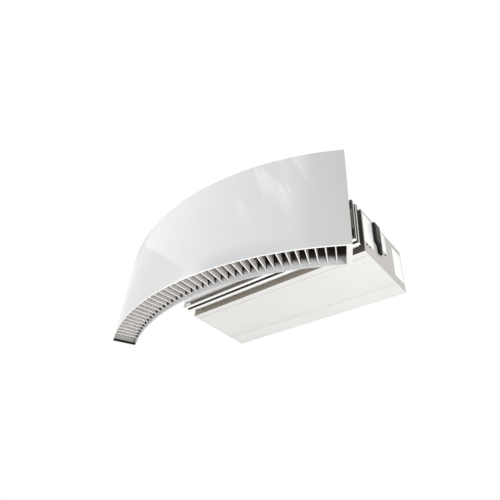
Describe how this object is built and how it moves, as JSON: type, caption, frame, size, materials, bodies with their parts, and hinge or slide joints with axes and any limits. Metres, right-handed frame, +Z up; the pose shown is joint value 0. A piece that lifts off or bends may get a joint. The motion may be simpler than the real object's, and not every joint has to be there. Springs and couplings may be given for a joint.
{
  "type": "revolving door air curtain",
  "caption": "Ceiling-hung air curtain for a revolving door: flat fan unit, flanged duct and curved nozzle with fixed fins that blows air down along the door.",
  "frame": {"origin": "centre of the casing's top panel, which hangs from the ceiling", "axes": "+X along the casing's width, -Y towards the door and the curved fascia, +Z up"},
  "size_m": [1.874, 1.3703, 0.734],
  "materials": {
    "white_sheet": "white powder coat, satin",
    "grey_sheet": "light grey powder coat, satin",
    "polished_fascia": "bright polished sheet",
    "galvanised": "galvanised sheet",
    "aluminium": "mill finish",
    "black_plastic": "moulded, fine texture",
    "grey_plastic": "moulded",
    "black_rubber": "closed-cell rubber",
    "steel": "zinc plated",
    "heater_steel": "heat tinted",
    "motor_paint": "dark enamel",
    "filter_fabric": "non-woven",
    "circuit_board": "lacquered board with parts"
  },
  "bodies": {
    "unit": {"casing_top": "white_sheet", "bottom_front_strip": "white_sheet", "bottom_rear_strip": "white_sheet", "nozzle_end_left": "white_sheet", "nozzle_end_right": "white_sheet", "side_plate_front": "white_sheet", "side_plate_middle": "white_sheet", "side_plate_rear": "white_sheet", "casing_left_side": "grey_sheet", "casing_right_side": "grey_sheet", "casing_front": "grey_sheet", "casing_back": "grey_sheet", "intake_grille": "grey_sheet", "fascia": "polished_fascia", "neck": "galvanised", "rear_flange": "galvanised", "front_flange": "galvanised", "duct": "galvanised", "nozzle_rear_wall": "galvanised", "nozzle_top": "galvanised", "fan_scroll_left": "galvanised", "fan_scroll_right": "galvanised", "fan_deck": "galvanised", "heater_frame": "galvanised", "filter_frame": "galvanised", "control_tray": "galvanised", "fin_cassette_1": "aluminium", "fin_cassette_2": "aluminium", "fin_cassette_3": "aluminium", "connection_cover": "black_plastic", "connection_lid": "grey_plastic", "terminal_block": "grey_plastic", "flange_gasket": "black_rubber", "outlet_end_seal": "black_rubber", "hanger_nut_1": "steel", "hanger_nut_2": "steel", "hanger_nut_3": "steel", "hanger_nut_4": "steel", "hinge_leaf_fixed_left": "steel", "hinge_leaf_fixed_right": "steel", "hinge_pin_left": "steel", "hinge_pin_right": "steel", "heater_rod_1": "heater_steel", "heater_rod_2": "heater_steel", "heater_rod_3": "heater_steel", "heater_rod_4": "heater_steel", "fan_motor_left": "motor_paint", "fan_motor_right": "motor_paint", "filter_media": "filter_fabric", "control_board": "circuit_board"},
    "hatch": {"hatch_panel": "white_sheet", "hatch_stiffener_left": "galvanised", "hatch_stiffener_right": "galvanised", "hinge_leaf_hatch_left": "steel", "hinge_leaf_hatch_right": "steel"},
    "latch_left": {"hatch_latch_left": "white_sheet"},
    "latch_right": {"hatch_latch_right": "white_sheet"},
    "wheel_left": {"impeller_left": "aluminium"},
    "wheel_right": {"impeller_right": "aluminium"}
  },
  "joints": [
    {"name": "hatch_swing", "type": "hinge", "parent": "unit", "child": "hatch", "pos_m": [0, 0.1522, -0.3447], "axis": [1, 0, 0], "range_deg": [0, 90]},
    {"name": "latch_left_turn", "type": "hinge", "parent": "hatch", "child": "latch_left", "pos_m": [-0.5, -0.2235, -0.35], "axis": [0, 0, -1], "range_deg": [0, 90]},
    {"name": "latch_right_turn", "type": "hinge", "parent": "hatch", "child": "latch_right", "pos_m": [0.5, -0.2235, -0.35], "axis": [0, 0, -1], "range_deg": [0, 90]},
    {"name": "fan_left_spin", "type": "hinge", "parent": "unit", "child": "wheel_left", "pos_m": [-0.4, 0.02, -0.1668], "axis": [1, 0, 0], "continuous": true},
    {"name": "fan_right_spin", "type": "hinge", "parent": "unit", "child": "wheel_right", "pos_m": [0.2, 0.02, -0.1668], "axis": [1, 0, 0], "continuous": true}
  ]
}
